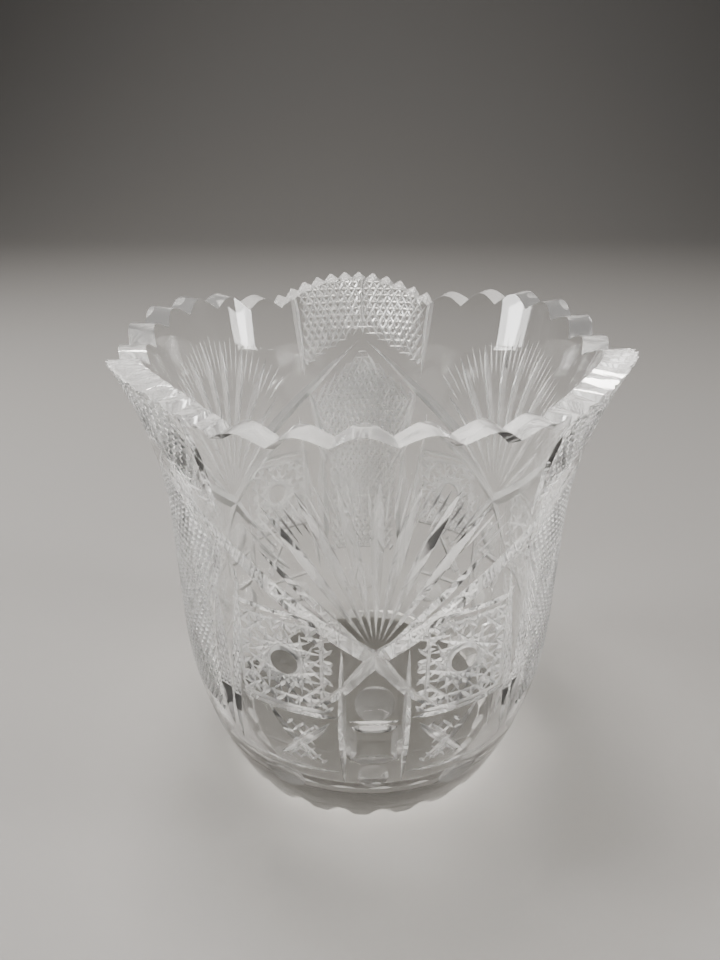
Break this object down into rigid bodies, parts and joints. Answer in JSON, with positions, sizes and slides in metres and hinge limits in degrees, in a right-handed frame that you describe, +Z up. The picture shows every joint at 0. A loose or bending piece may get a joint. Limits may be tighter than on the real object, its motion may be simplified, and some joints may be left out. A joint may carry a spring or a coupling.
{
  "type": "flower vase",
  "caption": "Flared cut-crystal flower vase with a lobed, saw-toothed rim, plain fan panels and finely cut hatched panels on a round foot.",
  "frame": {"origin": "centre of the foot's underside, on the surface that the vase stands on", "axes": "+Z up along the vase's axis, -Y through the middle of one fan panel"},
  "size_m": [0.1639, 0.1672, 0.1671],
  "materials": {
    "crystal": "polished clear lead crystal, with the finer cuts left slightly satin"
  },
  "bodies": {
    "root": {"vase_body": "crystal"}
  },
  "joints": []
}
